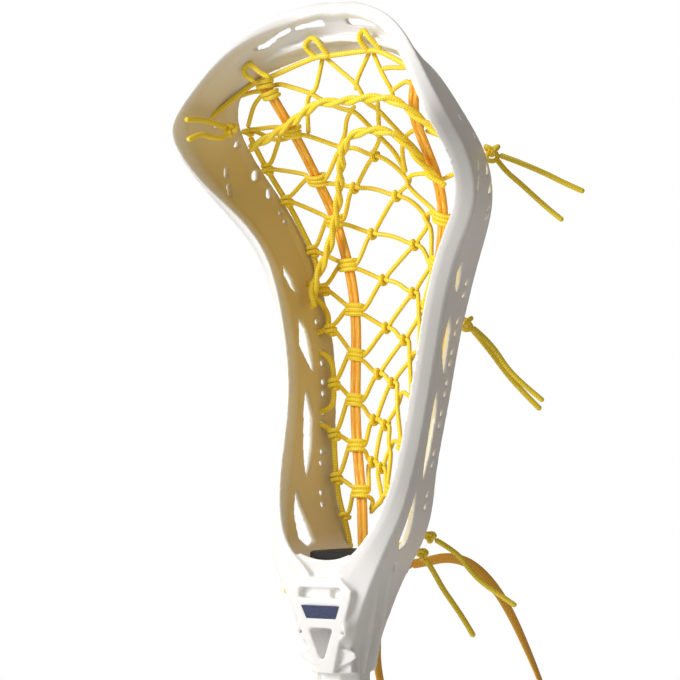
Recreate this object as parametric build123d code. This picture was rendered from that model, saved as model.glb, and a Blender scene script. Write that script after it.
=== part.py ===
"""Women's lacrosse stick: moulded head, strung pocket and octagonal handle.

Millimetres.  The handle stands on +Z with the centre of its butt end at the origin.  The ball
enters the head from -Y, the pocket hangs on the +Y side and +X is the head's right.
Heights in the head are written from the lower edge of its collar, at head_z on the handle.
"""
from build123d import *
import math
import os

# ---------------------------------------------------------------- driving sizes
handle_length = 787.0      # octagonal tube, butt plane to the end inside the socket
handle_flats = 22.2        # across flats, the seven-eighths inch handle
handle_wall = 1.6
cap_thickness = 4.0        # rubber below the tube's butt end
cap_skirt = 24.0           # rubber sleeve up the outside of the tube
cap_wall = 1.4

socket_depth = 69.0        # how far the handle enters the head
neck_length = 12.0         # bare socket tube below the collar
socket_wall = 2.4
socket_gap = 0.1           # clearance round the handle
throat_length = 64.0       # collar's lower edge to the floor of the ball opening
head_length = 367.0        # collar's lower edge to the tip of the scoop
head_width = 181.0         # over the widest part of the rim
wall = 3.0                 # side wall of the head
rim_width = 9.6            # flat of the rim, across
rim_rise = 5.3             # inner edge of the rim stands this far in front of the outer edge
rail_bead = 4.4            # thickened string rail along the back edge
lip_thickness = 3.2        # lip below the ball opening
plate_thickness = 7.0      # V-shaped plate raised in front of the socket
slot_width = 26.0          # long slot across the plate
slot_tall = 5.7
slot_height = 44.4         # its middle above the collar
rib_thickness = 1.8
floor_thickness = 3.0
opening_half = 31.5        # lower end of the ball opening, half of an ellipse
opening_rise = 34.0
pad_thickness = 6.0        # foam ball stop
pad_gap = 0.05
screw_radius = 2.0
screw_head_radius = 4.0
string_hole = 3.4

cord_diameter = 3.0        # braided sidewall and top strings
shooter_diameter = 4.4
rail_cord_diameter = 5.0   # laced running rails
lace_diameter = 5.6        # flat woven lace ends
net_thickness = 1.2
net_inset = 9.5            # from the string rail's outer edge to the edge of the net
string_inset = 7.0         # from the string rail's outer edge to the sidewall string
knot_flat = 0.85           # a cord leaves its knot at this share of the knot's radius
clearance = 0.3            # between strings and what they lie on

badge_width = 24.0         # trapezoid plate on the front of the throat
badge_height = 7.0
badge_low = 30.5           # its lower edge above the collar
badge_thickness = 1.2
badge_front = 0.3          # stands proud of the panel
screw_height = 20.0        # head screw above the collar

# ---------------------------------------------------------------- reference heights
head_z = handle_length - socket_depth + neck_length
floor_z = handle_length + socket_gap      # underside of the floor, over the handle's end
socket_half = handle_flats / 2 + socket_gap + socket_wall
screw_z = head_z + screw_height
NOMINAL_LENGTH, NOMINAL_WIDTH, NOMINAL_COLLAR = 367.0, 181.0, 13.6

# Rim outer edge and string rail outer edge of the right half, from the collar to the scoop's
# middle: (rim x, rim y, rim height, rail x, rail y, rail height).
STATIONS = [
    (13.2, -13.0, 0, 13.3, 12.6, 0),
    (15.4, -16.8, 17, 13.5, 17.5, 17),
    (20.2, -18.2, 30, 14.2, 26.0, 30),
    (26.0, -19.3, 44, 16.2, 33.5, 44),
    (32.4, -19.0, 58, 20.0, 39.5, 57),
    (37.5, -15.2, 72, 26.0, 43.0, 71),
    (41.3, -9.3, 86, 31.4, 42.4, 86),
    (43.8, -1.5, 106, 34.3, 42.0, 105),
    (45.4, 6.5, 130, 36.4, 46.6, 130),
    (47.2, 12.3, 155, 39.0, 51.4, 155),
    (50.6, 14.4, 180, 42.5, 54.0, 180),
    (55.5, 14.2, 204, 48.6, 54.5, 205),
    (64.0, 12.2, 229, 57.0, 52.8, 230),
    (77.0, 4.5, 250, 67.2, 46.5, 254),
    (87.3, -11.0, 269, 73.8, 33.0, 274),
    (90.5, -31.5, 290, 75.4, 16.0, 292),
    (86.5, -41.5, 305, 72.6, 2.5, 307),
    (77.0, -41.5, 321, 65.5, -3.6, 321),
    (60.9, -33.7, 342, 52.0, 1.0, 332),
    (41.0, -21.5, 357.5, 34.5, 8.4, 339.6),
    (20.0, -10.8, 365.4, 16.5, 13.0, 343.7),
    (0.0, -8.0, 367, 0.0, 14.0, 344.8),
]


def place(x, y, height):
    """Point of the head scaled to its driving sizes, as a vector in the part's frame."""
    share = max(0.0, min(1.0, height / throat_length))
    width_scale = 1 + (head_width / NOMINAL_WIDTH - 1) * share
    collar_shift = (socket_half - NOMINAL_COLLAR) * (1 - share)
    side = math.copysign(1, x) if x else 0
    if height > throat_length:
        rise = (head_length - throat_length) / (NOMINAL_LENGTH - throat_length)
        height = throat_length + (height - throat_length) * rise
    return Vector(x * width_scale + side * collar_shift, y, head_z + height)


RIM = [place(*s[:3]) for s in STATIONS]
RAIL = [place(*s[3:]) for s in STATIONS]
SCOOP_FIRST = 16           # first station of the scoop

# Near the throat the rim widens into the lip below the ball opening: station: (wider by, flatter by).
LIP = {3: (12.0, 4.0), 4: (7.4, 3.6), 5: (2.9, 2.2), 6: (1.4, 0.8)}


def tangent(points, i):
    """Direction along a row of points; the row meets its mirror image at the last one."""
    if i == len(points) - 1:
        return Vector(-1, 0, 0)
    return (points[min(i + 1, len(points) - 1)] - points[max(i - 1, 0)]).normalized()


def station_frame(i):
    """Origin on the rim, unit vector to the rail, outward unit vector and depth of the wall."""
    across = RAIL[i] - RIM[i]
    depth = across.length
    across = across.normalized()
    along = (tangent(RIM, i) + tangent(RAIL, i)).normalized()
    if i < 2:
        along = Vector(0, 0, 1)
    along = (along - across * along.dot(across)).normalized()
    outward = across.cross(along).normalized()
    return RIM[i], across, outward, depth


def local_point(i, out, back):
    """Point at station i, out from the wall's outer face and back from the rim."""
    origin, across, outward, _ = station_frame(i)
    return origin + outward * out + across * back


def scoop_share(i):
    """0 on the side walls, 1 over the scoop."""
    return min(1.0, max(0.0, (i - SCOOP_FIRST) / 3))


def wall_section(i):
    """Closed outline of the wall at one station: slanted rim, thin wall, string rail bead."""
    depth = station_frame(i)[3]
    s = scoop_share(i)
    wider, flatter = LIP.get(i, (0.0, 0.0))
    inner_u = -(rim_width * (1 - s) + 0.82 * rim_width * s) - wider
    inner_v = -rim_rise * (1 - s) + 0.35 * rim_rise * s + flatter
    outline = [
        (0.0, 0.0),
        (0.6 * inner_u, 0.6 * inner_v - 0.9),
        (inner_u, inner_v),
        (inner_u + 0.4, inner_v + 2.6),
        (-wall - 0.8, 10.0),
        (-wall, depth - 8.0),
        (-rail_bead, depth - 4.0),
        (-rail_bead + 0.3, depth),
        (0.2, depth),
        (0.4, depth - 3.5),
        (0.0, depth - 7.0),
        (-0.2, 6.0),
        (0.3, 2.4),
    ]
    return [local_point(i, u, v) for u, v in outline]


def wall_half():
    """Right half of the head's wall, lofted through the stations."""
    sections = [Face(Wire.make_polygon(wall_section(i), close=True)) for i in range(len(STATIONS))]
    return Solid.make_loft([s.outer_wire() for s in sections])


def mirrored(shape):
    """The same shape on the other side of the head."""
    return shape.mirror(Plane.YZ)


def prism(points, direction):
    """Flat outline through 3-D points, extruded along a vector."""
    return Solid.extrude(Face(Wire.make_polygon(points, close=True)), direction)


def octagon(flats, z0, z1):
    """Upright octagonal bar with flats to +X, -X, +Y and -Y."""
    sketch = RegularPolygon(flats / 2, 8, major_radius=False, rotation=22.5)
    return extrude(Pos(0, 0, z0) * sketch, z1 - z0)


def row_at(points, height):
    """Point of a row of points at a height above the collar."""
    z = head_z + height
    for a, b in zip(points, points[1:]):
        if a.Z <= z <= b.Z:
            return a + (b - a) * ((z - a.Z) / (b.Z - a.Z))
    return points[-1] if z > points[-1].Z else points[0]


def on_wall(height, share):
    """Depth and height of a point on the side wall, share 0 at the rim and 1 at the rail."""
    rim, rail = row_at(RIM, height), row_at(RAIL, height)
    return rim.Y + (rail.Y - rim.Y) * share, rim.Z


# Lip below the ball opening, (half width, height); it leans forwards from lip_front at the collar.
LIP_EDGE = [(13.0, 0), (14.5, 17), (19.2, 30), (25.0, 44), (26.0, 53), (21.0, 63), (15.0, 66)]
lip_front = -13.4
lip_lean = 7.25
RIB_DEPTHS = [-2.0, 9.0]

# Raised plate, (half width, depth of its face, height), and its window, (x, height).
PLATE_ROW = [(5.0, -19.5, 0.0), (12.1, -23.5, 21.0), (19.8, -25.6, 42.5), (20.0, -25.8, 46.0),
             (12.5, -25.2, 53.0)]
PLATE_WINDOW = [(-8.0, 25), (7.0, 25), (-0.5, 8), (-2.5, 8)]

# Windows of the side wall: (height, share of the wall's depth) round each outline.
WINDOWS = [
    [(226, .37), (217, .46), (206, .49), (212, .36), (219, .30)],
    [(196, .37), (188, .52), (176, .55), (161, .60), (171, .42), (179, .30), (190, .36)],
    [(157, .40), (149, .46), (139, .55), (122, .57), (102, .52), (113, .43), (125, .38), (145, .35)],
    [(101, .32), (90, .40), (78, .50), (70, .53), (67, .42), (72, .31), (86, .28)],
]
HOLE_PAIRS = [210, 189, 172, 155, 138, 116, 93]   # heights of the paired string holes
HOLE_PITCH = 6.6
HOLE_SHARE = 0.76

# Single holes beside the scoop and the throat: (height, share of depth, width, height of the hole).
SINGLE_HOLES = [
    (275, .86, 4.2, 6.0), (265, .90, 4.2, 6.0), (292, .84, 3.2, 4.0),
    (276, .45, 2.6, 6.5), (266, .30, 2.6, 8.0), (302, .62, 3.2, 4.0),
    (57, .53, 3.8, 5.2),
]
ROUND_HOLES = [254, 249]                          # heights of two round holes near the rail


def side_cutters():
    """Prisms for the windows and string holes of the right wall."""
    start = 8.0
    length = head_width
    cutters = []
    for window in WINDOWS:
        points = [Vector(start, *on_wall(h, share)) for h, share in window]
        cutters.append(prism(points, Vector(length, 0, 0)))
    for height in HOLE_PAIRS:
        for offset in (-HOLE_PITCH / 2, HOLE_PITCH / 2):
            y, z = on_wall(height + offset, HOLE_SHARE)
            hole = Box(length, string_hole, string_hole * 0.9)
            cutters.append(Pos(start + length / 2, y, z) * hole)
    for height, share, wide, tall in SINGLE_HOLES:
        y, z = on_wall(height, share)
        cutters.append(Pos(start + length / 2, y, z) * Box(length, wide, tall))
    for height in ROUND_HOLES:
        y, z = on_wall(height, 0.86)
        cutters.append(Pos(start + length / 2, y, z) * Rot(0, 90, 0) * Cylinder(1.5, length))
    return cutters


# Upper edge of the scoop's ledge on the left half, (x, height, depth of its back inside the wall).
LEDGE_EDGE = [(-54, 335.0, -7.5), (-50, 337.4, -6.0), (-40, 342.5, 2.5), (-20, 348.0, 7.5),
              (0, 350.0, 9.0)]
LEDGE_HEIGHT = 4.0
NOTCHES = [-51.0, -18.0, 18.0, 51.0]
NOTCH_WIDTH = 7.0

# Windows of the scoop: (x, lower edge, upper edge).
LEFT_SLOT = [(-48, 341.5, 343.5), (-41.5, 344.3, 347.4), (-35, 349.2, 352.0), (-28.5, 352.5, 355.2),
             (-20.5, 354.3, 357.5), (-10.5, 355.2, 359.0)]
RIGHT_SLOT = [(3, 355.2, 359.2), (13, 354.4, 358.6), (24, 352.6, 356.8)]
SLOT_BEHIND = 2.5          # from the rim's outer edge back to the slots
SLOT_DEPTH = 26.0


def scoop_slots():
    """Long thin windows through the scoop behind its rim, one each side of a middle rib."""
    cutters = []
    for slot in (LEFT_SLOT, RIGHT_SLOT):
        for (x0, low0, high0), (x1, low1, high1) in zip(slot, slot[1:]):
            front = max(rim_depth(x0), rim_depth(x1)) + SLOT_BEHIND
            corners = [(x0, low0), (x1, low1), (x1, high1), (x0, high0)]
            outline = [place(x, front, h) for x, h in corners]
            cutters.append(prism(outline, Vector(0, SLOT_DEPTH, 0)))
    return cutters


def rim_depth(x):
    """Depth of the scoop's outer edge at a distance from the middle."""
    scoop = RIM[SCOOP_FIRST:]
    for outer, inner in zip(scoop, scoop[1:]):
        if inner.X <= abs(x) <= outer.X:
            return inner.Y + (outer.Y - inner.Y) * (abs(x) - inner.X) / (outer.X - inner.X)
    return scoop[0].Y


def scoop_ledge():
    """Shelf along the inside of the scoop, with a notch at each lacing place."""
    edge = LEDGE_EDGE + [(-x, h, back) for x, h, back in reversed(LEDGE_EDGE[:-1])]
    faces = []
    for (x0, h0, back0), (x1, h1, back1) in zip(edge, edge[1:]):
        corners = [place(x0, ledge_front(x0), h0), place(x1, ledge_front(x1), h1),
                   place(x1, back1, h1), place(x0, back0, h0)]
        faces.append(prism(corners, Vector(0, 0, -LEDGE_HEIGHT)))
    ledge = faces[0].fuse(*faces[1:])
    notches = []
    for x in NOTCHES:
        middle = place(x, ledge_front(x), 347)
        notches.append(Pos(middle.X, middle.Y, middle.Z) * Box(NOTCH_WIDTH, 9, 60))
    return ledge.cut(*notches)


def ledge_front(x):
    """How far back the ledge's front edge lies at a distance from the middle."""
    return -4.0 - 7.0 * (x / 62.0) ** 2


def throat():
    """Socket tube, lip below the ball opening, raised plate, floor and side ribs of the throat."""
    tube = octagon(2 * socket_half, head_z - neck_length, floor_z + floor_thickness / 2)
    outline = [place(x, 0, h) for x, h in LIP_EDGE] + [place(-x, 0, h) for x, h in reversed(LIP_EDGE)]
    lip = prism(outline, Vector(0, lip_thickness, 0))
    lip = lip.rotate(Axis((0, 0, head_z), (1, 0, 0)), lip_lean).moved(Location((0, lip_front, 0)))
    middle = Plane((0, 0, head_z + throat_length - 4.5 + opening_rise), z_dir=(0, -1, 0))
    lip = lip.cut(extrude(middle * Ellipse(opening_half, opening_rise), 40))
    floor_outline = [Vector(p.X, p.Y, floor_z) for p in (place(28.0, -17.5, 57), place(18.0, 37.0, 57))]
    floor_outline += [Vector(-p.X, p.Y, p.Z) for p in reversed(floor_outline)]
    floor = prism(floor_outline, Vector(0, 0, floor_thickness))
    ribs = []
    for side in (-1, 1):
        for y in RIB_DEPTHS:
            corners = [(side * (socket_half - 1.5), y, 1), (side * (socket_half + 1.2), y, 1),
                       (side * 26.0, y, 56), (side * (socket_half - 1.5), y, 56)]
            points = [place(*c) for c in corners]
            ribs.append(prism(points, Vector(0, rib_thickness, 0)))
    return [tube, lip, raised_plate(), floor] + ribs


def raised_plate():
    """V-shaped plate that stands in front of the socket, lofted through level rectangles."""
    wires = []
    for half, front, height in PLATE_ROW:
        back = front + plate_thickness
        corners = [place(-half, front, height), place(half, front, height),
                   place(half, back, height), place(-half, back, height)]
        wires.append(Wire.make_polygon(corners, close=True))
    return Solid.make_loft(wires, ruled=True)


def plate_face(height):
    """Depth of the raised plate's face at a height above the collar."""
    return row_at([place(0, front, h) for _, front, h in PLATE_ROW], height).Y


def throat_cutters():
    """Socket bore, openings of the raised plate, badge recess and the screw's hole."""
    flats = handle_flats + 2 * socket_gap
    bore = octagon(flats, head_z - neck_length - 1, floor_z)
    outline = [Vector(x, plate_face(0) - 12, head_z + h) for x, h in PLATE_WINDOW]
    window = prism(outline, Vector(0, 20.0, 0))
    face = plate_face(slot_height)
    slot = Pos(0, face, head_z + slot_height) * Box(slot_width, 4.0, slot_tall)
    ends = [Pos(x, face, head_z + slot_height) * Box(7.0, 10.0, slot_tall) for x in (-9.5, 9.5)]
    recess = badge_block(badge_width + 2 * pad_gap, badge_front)
    hole = Pos(0, socket_half, screw_z) * Rot(90, 0, 0) * Cylinder(screw_radius, 12)
    sink = Pos(0, socket_half + 0.9, screw_z) * Rot(90, 0, 0)
    return [bore, window, slot, recess, hole, sink * Cylinder(screw_head_radius, 2.0)] + ends


def badge_block(width, proud):
    """Trapezoid plate let into the front panel."""
    half, low_half = width / 2, width / 2 - 3.0
    corners = [(-half, badge_low + badge_height), (half, badge_low + badge_height),
               (low_half, badge_low), (-low_half, badge_low)]
    points = [Vector(x, plate_face(h) - proud, head_z + h) for x, h in corners]
    return prism(points, Vector(0, badge_thickness + proud, 0))


def head_frame():
    """The one-piece moulded head."""
    half = wall_half()
    for cutter in side_cutters():
        half = half.cut(cutter)
    body = half.fuse(mirrored(half))
    body = body.fuse(*throat())
    body = body.fuse(scoop_ledge())
    for cutter in throat_cutters() + scoop_slots():
        body = body.cut(cutter)
    return body


def ball_stop():
    """Foam pad on the floor of the ball opening."""
    base = floor_z + floor_thickness + pad_gap
    outline = [Vector(-20, -12, base), Vector(20, -12, base), Vector(13, 30, base), Vector(-13, 30, base)]
    return prism(outline, Vector(0, 0, pad_thickness))


def handle():
    """Hollow octagonal tube."""
    outer = octagon(handle_flats, cap_thickness, handle_length)
    screw_hole = Pos(0, handle_flats / 2, screw_z) * Rot(90, 0, 0) * Cylinder(screw_radius, 8)
    return outer - octagon(handle_flats - 2 * handle_wall, cap_thickness - 1, handle_length + 1) - screw_hole


def end_cap():
    """Rubber cap: flat base with a sleeve round the butt of the handle."""
    block = octagon(handle_flats + 2 * cap_wall, 0, cap_thickness + cap_skirt)
    return block - octagon(handle_flats, cap_thickness, cap_thickness + cap_skirt + 1)


def head_screw():
    """Pan-head screw through the back of the socket into the handle's wall."""
    shank_length = socket_wall + handle_wall + 2.0
    head = Pos(0, socket_half + 0.9, screw_z) * Rot(90, 0, 0) * Cylinder(screw_head_radius - 0.1, 2.0)
    shank = Pos(0, socket_half - 0.1 - shank_length / 2, screw_z)
    shank = shank * Rot(90, 0, 0) * Cylinder(screw_radius - 0.02, shank_length)
    slot = Pos(0, socket_half + 1.9, screw_z) * Box(6, 1.2, 1.0)
    return head + shank - slot


# ---------------------------------------------------------------- strings and net

def tube(name, points, diameter):
    """Round cord: straight runs joined by the largest tangent arcs that the runs allow."""
    runs = [(b - a).length for a, b in zip(points, points[1:])]
    radii = []
    for i in range(1, len(points) - 1):
        turn = (points[i] - points[i - 1]).get_angle(points[i + 1] - points[i])
        radii.append(0.45 * min(runs[i - 1], runs[i]) / math.tan(math.radians(turn / 2)))
    path = FilletPolyline(*points, radius=radii)
    shape = sweep(Plane(path @ 0, z_dir=path % 0) * Circle(diameter / 2), path=path)
    expected = math.pi * diameter ** 2 / 4 * path.length
    print(name, "radii", [round(r, 1) for r in radii], "length", round(path.length, 1),
          "volume ratio", round(shape.volume / expected, 3))
    return shape


def net_point(x, height, lift=0.0):
    """Point of the pocket's surface, lifted towards the ball side."""
    surface = row_at([place(0, y, h) for y, h in NET_ROW], height)
    return Vector(place(x, 0, height).X, surface.Y - lift, place(0, 0, height).Z)


def pocket_net():
    """Mesh of the pocket as one thin sheet between the string rails."""
    heights = [h for _, h in NET_ROW]
    outline = []
    for h in heights[:-1]:
        rail = row_at(RAIL, h)
        outline.append(Vector(rail.X - net_inset, -80, rail.Z))
    outline += [place(40.0, -80, 329), place(14.0, -80, 333)]
    outline += [Vector(-p.X, p.Y, p.Z) for p in reversed(outline)]
    slab = prism(outline, Vector(0, 160, 0))
    front = [net_point(0, h) for h in heights]
    back = [p + Vector(0, net_thickness * 1.5, 0) for p in reversed(front)]
    band = prism([Vector(-head_width / 2, p.Y, p.Z) for p in front + back], Vector(head_width, 0, 0))
    return slab.intersect(band)[0]


# Running rails: (x, height) from the throat to the scoop.
RAIL_CORD = [(7.2, 62), (7.9, 77), (9.6, 93), (13.8, 112), (19.2, 138), (22.0, 163), (23.8, 190), (27.0, 214),
             (31.8, 234), (35.8, 254), (38.8, 272), (39.4, 288), (40.6, 303), (44.5, 315),
             (48.5, 325)]

# Surface of the pocket, (depth, height) from the throat to the scoop.
NET_ROW = [(38, 74), (41, 95), (44.5, 115), (51, 145), (57, 175), (60, 205), (59, 230), (53, 254),
           (39.5, 274), (22.5, 292), (8, 307), (1, 321), (2, 334)]
SIDEWALL_STRING = [72, 95, 122, 150, 180, 206, 230, 254, 274, 292]
TOP_STRING = [(-73, -20, 306), (-63, -17, 318), (-50, -14, 328), (-20, -11, 338.5), (17, -11, 340),
              (34, -12, 336), (52, -14, 327), (64, -17, 317), (73, -20, 305)]
UPPER_SHOOTER = [(-65, 289), (-51, 295), (-40, 299.5), (-25.5, 305.5), (-12, 312.5), (0, 312),
                 (15, 313.5), (30, 314), (41, 310.5), (48, 303), (57, 295.5), (65, 289)]
U_SHOOTER = [(-41, 200), (-43.5, 210.5), (-36, 233), (-24, 260.5), (-16, 277), (-7.5, 288.5),
             (0.5, 294.5), (9, 296.5), (21.5, 297), (29.5, 294.5), (34.5, 288), (37, 281),
             (40.5, 273), (47, 266.5)]
BOTTOM_STRING = [(-17.5, 50.5, 70), (-8, 51.5, 66), (6, 51, 66.5), (17.5, 50.5, 70)]

# Knots that stand outside the head: name, centre (x, y, height) and radius.
KNOTS = {
    "upper_right_knot": ((75.5, 31.5, 284.5), 5.6),
    "middle_right_knot": ((43.5, 60.8, 191.5), 4.8),
    "lower_right_knot": ((27.5, 47.5, 72.5), 3.7),
    "bottom_right_knot": ((23.2, 46.0, 63.0), 3.7),
    "upper_left_knot": ((-65.5, -13.0, 299.0), 4.4),
    "lower_left_knot": ((-24.5, 46.5, 66.0), 3.2),
    "right_lace_knot": ((12.0, 46.5, 56.0), 4.4),
    "left_lace_knot": ((-9.0, 46.5, 55.0), 4.4),
}

# Free ends: name, knot, diameter and the route's points after the knot (x, y, height).
TAILS = {
    "upper_right_tail_long": ("upper_right_knot", cord_diameter, [
        (87.0, 33.0, 280.5), (98.0, 35.0, 276.0), (107.0, 39.5, 271.5), (115.5, 44.0, 266.5),
        (123.5, 48.5, 262.6)]),
    "upper_right_tail_short": ("upper_right_knot", cord_diameter, [
        (82.5, 33.5, 274.5), (90.0, 36.0, 268.0), (97.5, 39.0, 260.5), (105.5, 43.0, 252.5),
        (112.0, 45.5, 247.0)]),
    "middle_right_tail_outer": ("middle_right_knot", cord_diameter, [
        (52.0, 62.5, 185.0), (60.0, 64.0, 176.5), (66.0, 67.0, 166.0), (74.5, 71.5, 156.5),
        (83.0, 77.5, 148.0)]),
    "middle_right_tail_inner": ("middle_right_knot", cord_diameter, [
        (46.5, 68.5, 184.0), (53.5, 72.0, 174.5), (60.5, 75.5, 163.5), (69.0, 80.5, 152.5),
        (77.0, 85.5, 143.0)]),
    "lower_right_tail": ("lower_right_knot", cord_diameter, [
        (34.5, 51.5, 68.0), (42.5, 55.5, 61.5), (46.5, 58.0, 54.5), (52.5, 61.0, 47.5),
        (61.0, 65.0, 41.0), (69.5, 70.5, 34.0)]),
    "bottom_right_tail": ("bottom_right_knot", cord_diameter, [
        (27.5, 50.5, 54.0), (31.5, 54.0, 44.0), (37.5, 57.0, 34.5), (42.5, 61.0, 25.0),
        (47.0, 63.0, 16.5)]),
    "upper_left_tail_front": ("upper_left_knot", cord_diameter, [
        (-67.5, -22.0, 301.0), (-70.0, -30.0, 303.0), (-72.0, -37.5, 303.5), (-73.8, -46.0, 303.0)]),
    "upper_left_tail_back": ("upper_left_knot", cord_diameter, [
        (-66.5, -19.0, 293.5), (-69.0, -27.5, 294.0), (-71.5, -35.5, 296.0), (-74.2, -43.4, 291.8)]),
    "lower_left_tail": ("lower_left_knot", cord_diameter, [
        (-31.0, 42.0, 60.5), (-38.5, 35.5, 56.0), (-45.0, 28.5, 51.5), (-48.5, 22.5, 45.0),
        (-50.0, 19.0, 40.5)]),
    "right_lace_tail": ("right_lace_knot", lace_diameter, [
        (20.0, 56.0, 58.0), (29.0, 63.0, 60.5), (38.5, 68.5, 58.5), (47.0, 73.0, 51.5),
        (54.5, 78.0, 40.5), (61.0, 81.5, 27.5), (67.0, 84.0, 13.5), (72.5, 87.0, -1.0),
        (77.0, 90.0, -15.0)]),
    "left_lace_tail": ("left_lace_knot", lace_diameter, [
        (-8.0, 50.0, 44.0), (-7.5, 50.0, 30.0), (-6.5, 47.0, 16.0), (-4.5, 43.5, 2.0),
        (-1.0, 42.5, -12.0), (3.5, 45.0, -33.0)]),
}


def knot_exit(name, tail_points):
    """Where a tail leaves its knot, and the direction it leaves in."""
    centre, radius = place(*KNOTS[name][0]), KNOTS[name][1]
    direction = (tail_points[0] - centre).normalized()
    return centre + direction * (radius * knot_flat), direction


def knot(name):
    """Tied knot: a ball with a flat face where each of its cords leaves."""
    centre, radius = place(*KNOTS[name][0]), KNOTS[name][1]
    seam_turn = 180 if centre.X > 0 else 0
    ball = Pos(*centre) * Rot(0, 0, seam_turn) * Sphere(radius)
    for knot_name, _, route in TAILS.values():
        if knot_name == name:
            start, direction = knot_exit(name, [place(*p) for p in route])
            beyond = Plane(start, z_dir=direction) * Pos(0, 0, radius)
            ball -= beyond * Box(4 * radius, 4 * radius, 2 * radius)
    return ball


def tail(name):
    """Free cord end, from the flat of its knot to its sealed tip."""
    knot_name, diameter, route = TAILS[name]
    points = [place(*p) for p in route]
    start, _ = knot_exit(knot_name, points)
    return tube(name, [start] + points, diameter)


def running_rail(side):
    """One laced rail, lying on the ball side of the net."""
    lift = clearance + rail_cord_diameter * 0.9
    points = [net_point(side * x, h, lift) for x, h in RAIL_CORD]
    return tube("running_rail", points, rail_cord_diameter)


def sidewall_string(side):
    """String laced up the inside of one string rail."""
    points = []
    for h in SIDEWALL_STRING:
        rail = row_at(RAIL, h)
        points.append(Vector(side * (rail.X - string_inset), rail.Y - 1.0, rail.Z))
    return tube("sidewall_string", points, cord_diameter)


def shooting_string(name, route, lift):
    """Thick string woven across the net."""
    return tube(name, [net_point(x, h, lift) for x, h in route], shooter_diameter)


PARTS = {}


def keep(name, shape):
    """Remember a finished piece under its node name."""
    PARTS[name] = shape


if __name__ == "__main__":
    keep("head_frame", head_frame())
    keep("ball_stop", ball_stop())
    keep("handle", handle())
    keep("end_cap", end_cap())
    keep("head_screw", head_screw())
    keep("throat_badge", badge_block(badge_width, badge_front))
    keep("pocket_net", pocket_net())
    keep("right_running_rail", running_rail(1))
    keep("left_running_rail", running_rail(-1))
    keep("right_sidewall_string", sidewall_string(1))
    keep("left_sidewall_string", sidewall_string(-1))
    keep("top_string", tube("top_string", [place(*p) for p in TOP_STRING], cord_diameter))
    keep("bottom_string", tube("bottom_string", [place(*p) for p in BOTTOM_STRING], cord_diameter))
    shooter_lift = 2 * clearance + 1.7 * rail_cord_diameter + shooter_diameter
    keep("upper_shooting_string", shooting_string("upper_shooting_string", UPPER_SHOOTER, shooter_lift))
    keep("u_shooting_string", shooting_string("u_shooting_string", U_SHOOTER, shooter_lift))
    for knot_name in KNOTS:
        keep(knot_name, knot(knot_name))
    for tail_name in TAILS:
        keep(tail_name, tail(tail_name))
    os.makedirs("parts", exist_ok=True)
    for name, shape in PARTS.items():
        export_step(shape, f"parts/{name}.step")
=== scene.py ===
"""Lacrosse stick: moulded head, knotted pocket, laced rails and free string ends.

Metres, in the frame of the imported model.  Sizes and routes of the strings are written in
millimetres, with heights taken from the lower edge of the head's collar.
"""

import logging
import math
from dataclasses import dataclass, field
from enum import Enum
from typing import Optional, Sequence

import bpy
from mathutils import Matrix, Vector


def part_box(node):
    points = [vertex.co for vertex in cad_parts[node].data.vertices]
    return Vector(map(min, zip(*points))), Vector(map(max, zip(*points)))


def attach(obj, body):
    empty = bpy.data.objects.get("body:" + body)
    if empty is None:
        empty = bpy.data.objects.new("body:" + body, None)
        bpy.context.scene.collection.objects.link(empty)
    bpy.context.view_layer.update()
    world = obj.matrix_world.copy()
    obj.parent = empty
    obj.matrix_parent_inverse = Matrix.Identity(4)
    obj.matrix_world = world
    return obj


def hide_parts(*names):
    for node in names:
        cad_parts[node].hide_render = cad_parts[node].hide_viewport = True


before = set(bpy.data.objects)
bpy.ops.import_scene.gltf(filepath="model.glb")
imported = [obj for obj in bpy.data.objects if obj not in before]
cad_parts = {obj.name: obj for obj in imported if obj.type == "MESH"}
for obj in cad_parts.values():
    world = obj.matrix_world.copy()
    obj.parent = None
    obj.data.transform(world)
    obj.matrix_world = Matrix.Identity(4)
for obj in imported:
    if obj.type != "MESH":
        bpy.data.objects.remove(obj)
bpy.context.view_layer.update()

MM = 0.001
NECK_LENGTH = 12.0            # bare socket tube below the collar
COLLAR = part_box("head_frame")[0].z + NECK_LENGTH * MM
CLEARANCE = 0.3               # between strings and what they lie on
RAIL_CORD_WIDTH = 5.0
SHOOTER_WIDTH = 4.4
RAIL_LIFT = CLEARANCE + 0.9 * RAIL_CORD_WIDTH      # a rail's middle, in front of the pocket
SHOOTER_LIFT = 2 * CLEARANCE + 1.7 * RAIL_CORD_WIDTH + SHOOTER_WIDTH    # and a shooting string's
BODY = "root"

log = logging.getLogger("lacrosse_stick")

Route = Sequence[Sequence[float]]
Line = list[Vector]


def at(x: float, y: float, height: float) -> Vector:
    """Point in metres, from millimetres with the height taken from the collar."""
    return Vector((x * MM, y * MM, COLLAR + height * MM))


# ------------------------------------------------------------------ rows and the pocket's surface

# Rows that rise from the throat: middle of the pocket, (depth, height); right sidewall string,
# (x, depth, height); right running rail, (x, height).
POCKET_ROW = [(38, 74), (41, 95), (44.5, 115), (51, 145), (57, 175), (60, 205), (59, 230), (53, 254),
              (39.5, 274), (22.5, 292), (8, 307), (1, 321), (2, 334), (6, 345)]
SIDE_ROW = [(19.3, 39, 72), (25.8, 36.5, 95), (28.7, 37.5, 122), (31.5, 42, 150), (35.5, 47, 180),
            (41.9, 49.5, 206), (50, 51, 230), (60.2, 45.5, 254), (66.8, 32, 274), (68.4, 15, 292),
            (67, 3, 305), (62, -3, 318), (48, -1, 332), (30, 4, 345)]
RAIL_CORD = [(7.2, 62), (7.9, 77), (9.6, 93), (13.8, 112), (19.2, 138), (22.0, 163), (23.8, 190),
             (27.0, 214), (31.8, 234), (35.8, 254), (38.8, 272), (39.4, 288), (40.6, 303),
             (44.5, 315), (48.5, 325)]
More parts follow.
